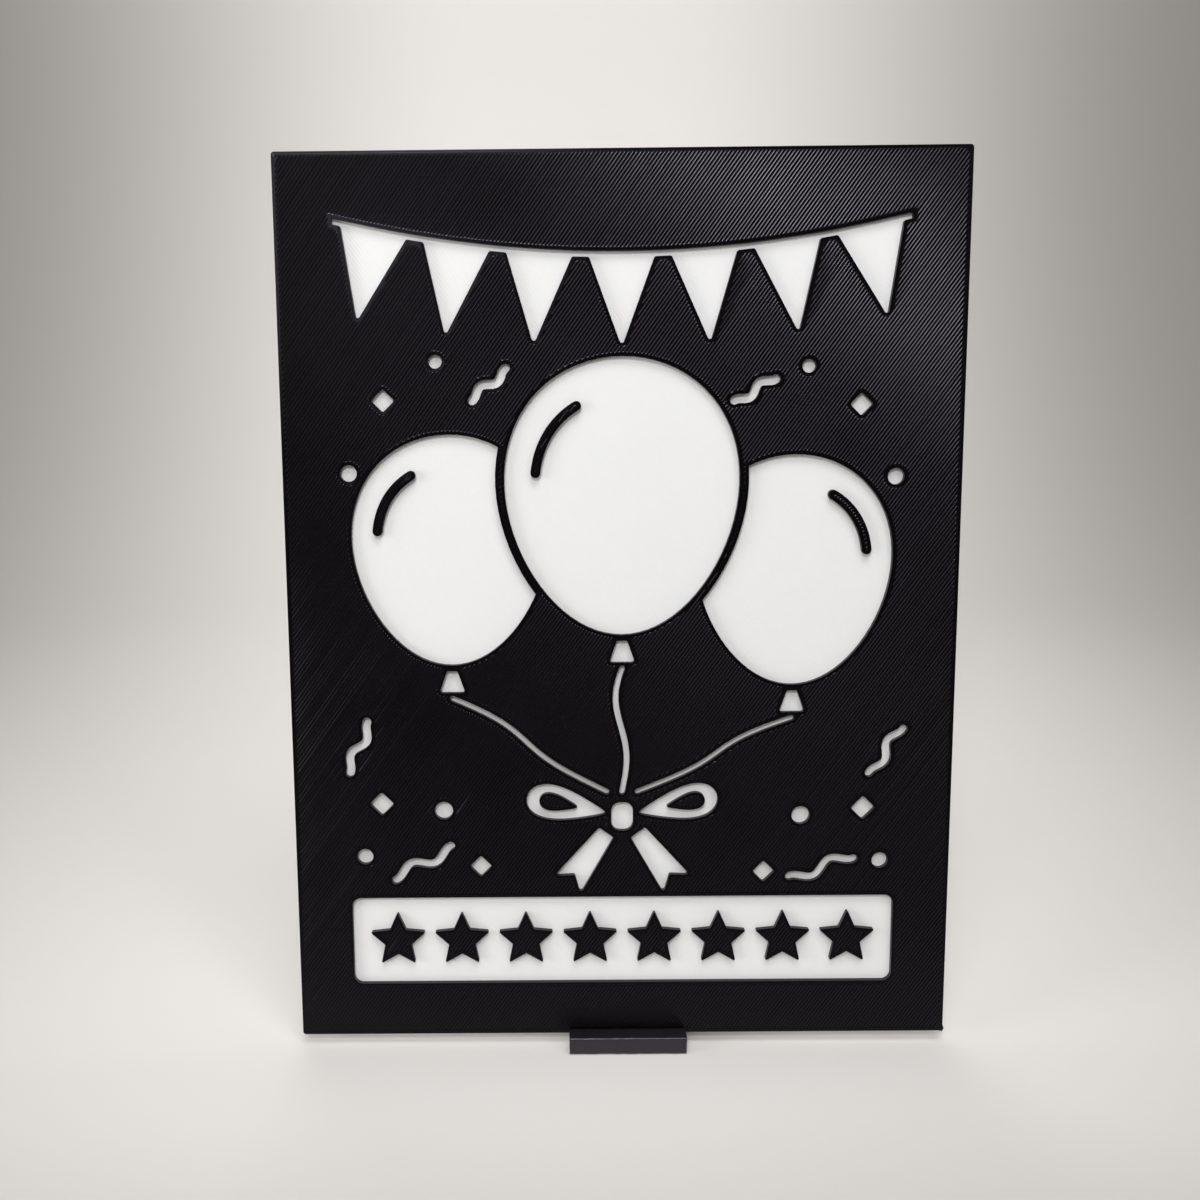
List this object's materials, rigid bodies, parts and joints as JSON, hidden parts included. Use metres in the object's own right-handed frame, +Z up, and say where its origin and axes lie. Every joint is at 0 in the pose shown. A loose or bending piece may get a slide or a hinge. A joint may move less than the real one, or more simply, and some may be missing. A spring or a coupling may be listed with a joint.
{
  "type": "tabletop sign",
  "caption": "Printed rectangular party sign, a black face with cut-out windows on a white back plate, leaning in a small easel stand that it lifts out of.",
  "frame": {"origin": "the middle of the stand's underside, on the table", "axes": "+X to the right as the viewer of the sign's face sees it, +Y away from the viewer, +Z up"},
  "size_m": [0.18, 0.0732, 0.2401],
  "materials": {
    "white_print": "smooth white printed plastic",
    "black_print": "satin black printed plastic with fine slanting print lines on top",
    "stand_print": "satin black printed plastic with layer lines on its sides"
  },
  "bodies": {
    "stand": {"easel_stand": "stand_print"},
    "sign": {"back_plate": "white_print", "face_plate": "black_print", "shine_left": "black_print", "shine_middle": "black_print", "shine_right": "black_print", "bow_eye_left": "black_print", "bow_eye_right": "black_print", "bar_star_1": "black_print", "bar_star_2": "black_print", "bar_star_3": "black_print", "bar_star_4": "black_print", "bar_star_5": "black_print", "bar_star_6": "black_print", "bar_star_7": "black_print", "bar_star_8": "black_print"}
  },
  "joints": [
    {"name": "sign_lift", "type": "slide", "parent": "stand", "child": "sign", "axis": [0, 0.1736, 0.9848], "range_m": [0, 0.1]}
  ]
}
